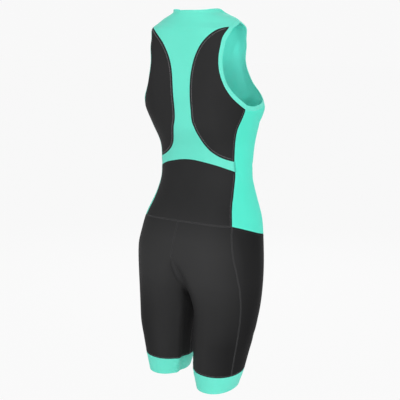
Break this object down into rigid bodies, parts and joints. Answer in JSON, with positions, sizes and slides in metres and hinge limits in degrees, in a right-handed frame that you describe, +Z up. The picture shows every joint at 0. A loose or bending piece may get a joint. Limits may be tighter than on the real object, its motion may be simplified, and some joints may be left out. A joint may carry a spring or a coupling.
{
  "type": "triathlon suit",
  "caption": "Sleeveless one-piece triathlon suit with knee-length legs, two-colour panels, hem bands and a front zip, filled out as if worn.",
  "frame": {"origin": "where the wearer's shoulders hold the suit, midway between the two points where the neck edge meets the shoulder seams", "axes": "+Z up, +X to the wearer's left, the front with the zip faces -Y"},
  "size_m": [0.3095, 0.2385, 0.8499],
  "materials": {
    "mint_cloth": "smooth stretch knit",
    "black_cloth": "smooth stretch knit",
    "zip_metal": "satin"
  },
  "bodies": {
    "suit": {"armhole_binding_left": "mint_cloth", "armhole_binding_right": "mint_cloth", "back_panel_left": "black_cloth", "back_panel_right": "black_cloth", "back_yoke": "mint_cloth", "front_left": "mint_cloth", "front_right": "mint_cloth", "hem_band_left": "mint_cloth", "hem_band_right": "mint_cloth", "leg_back_left": "black_cloth", "leg_back_right": "black_cloth", "leg_front_left": "black_cloth", "leg_front_right": "black_cloth", "lower_back": "black_cloth", "zip_slider": "zip_metal", "zip_tape": "mint_cloth"},
    "zip_pull": {"zip_pull": "zip_metal"}
  },
  "joints": [
    {"name": "zip_pull_hinge", "type": "hinge", "parent": "suit", "child": "zip_pull", "pos_m": [0, -0.07778, -0.08369], "axis": [-1, 0, 0], "range_deg": [0, 150]}
  ]
}
